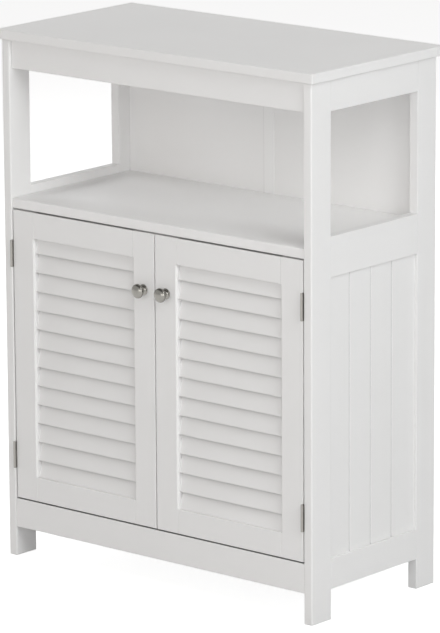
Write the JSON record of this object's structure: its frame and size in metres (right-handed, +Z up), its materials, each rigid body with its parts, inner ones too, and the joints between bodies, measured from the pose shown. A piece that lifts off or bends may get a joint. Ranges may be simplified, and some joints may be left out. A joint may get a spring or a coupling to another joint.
{
  "type": "louvred door cabinet",
  "caption": "Free-standing cabinet: an open compartment with a window in each side frame, over a cupboard with louvred doors on round knobs.",
  "frame": {"origin": "on the floor, under the middle of the overall bounding box", "axes": "+X to the right seen from the front, +Y to the back, +Z up; the doors face -Y"},
  "size_m": [0.6, 0.312, 0.8],
  "materials": {
    "painted_wood": "satin white paint",
    "painted_board": "satin white paint on thin fibreboard",
    "white_plastic": "satin",
    "satin_nickel": "satin nickel",
    "hinge_steel": "nickel-plated",
    "screw_steel": "zinc-plated",
    "cast_zinc": "as cast",
    "beech": "bare beech",
    "magnet": "sintered ferrite"
  },
  "bodies": {
    "cabinet": {"adjustable_shelf": "painted_wood", "back_joint_strip": "white_plastic", "back_panel_left": "painted_board", "back_panel_right": "painted_board", "back_panel_screws": "screw_steel", "cam_bolts": "screw_steel", "cam_discs": "cast_zinc", "case_dowels": "beech", "catch_housings": "white_plastic", "catch_magnets": "magnet", "catch_screws": "screw_steel", "cupboard_floor": "painted_wood", "fixed_shelf": "painted_wood", "front_apron": "painted_wood", "hinge_frame_leaves": "hinge_steel", "hinge_frame_screws": "hinge_steel", "hinge_pins": "hinge_steel", "left_back_post": "painted_wood", "left_beadboard_panel": "painted_wood", "left_bottom_rail": "painted_wood", "left_front_post": "painted_wood", "left_middle_rail": "painted_wood", "left_top_rail": "painted_wood", "plinth_rail": "painted_wood", "right_back_post": "painted_wood", "right_beadboard_panel": "painted_wood", "right_bottom_rail": "painted_wood", "right_front_post": "painted_wood", "right_middle_rail": "painted_wood", "right_top_rail": "painted_wood", "shelf_pins": "screw_steel", "top_panel": "painted_wood"},
    "left_door": {"left_door_bottom_rail": "painted_wood", "left_door_dowels": "beech", "left_door_hinge_leaves": "hinge_steel", "left_door_hinge_screws": "hinge_steel", "left_door_hinge_stile": "painted_wood", "left_door_louvres": "painted_wood", "left_door_meeting_stile": "painted_wood", "left_door_top_rail": "painted_wood", "left_knob": "satin_nickel", "left_knob_screw": "screw_steel", "left_strike_plate": "screw_steel", "left_strike_screw": "screw_steel"},
    "right_door": {"right_door_bottom_rail": "painted_wood", "right_door_dowels": "beech", "right_door_hinge_leaves": "hinge_steel", "right_door_hinge_screws": "hinge_steel", "right_door_hinge_stile": "painted_wood", "right_door_louvres": "painted_wood", "right_door_meeting_stile": "painted_wood", "right_door_top_rail": "painted_wood", "right_knob": "satin_nickel", "right_knob_screw": "screw_steel", "right_strike_plate": "screw_steel", "right_strike_screw": "screw_steel"}
  },
  "joints": [
    {"name": "left_door_hinge", "type": "hinge", "parent": "cabinet", "child": "left_door", "pos_m": [-0.278, -0.14145, 0.311], "axis": [0, 0, -1], "range_deg": [0, 180]},
    {"name": "right_door_hinge", "type": "hinge", "parent": "cabinet", "child": "right_door", "pos_m": [0.278, -0.14145, 0.311], "axis": [0, 0, 1], "range_deg": [0, 180]}
  ]
}
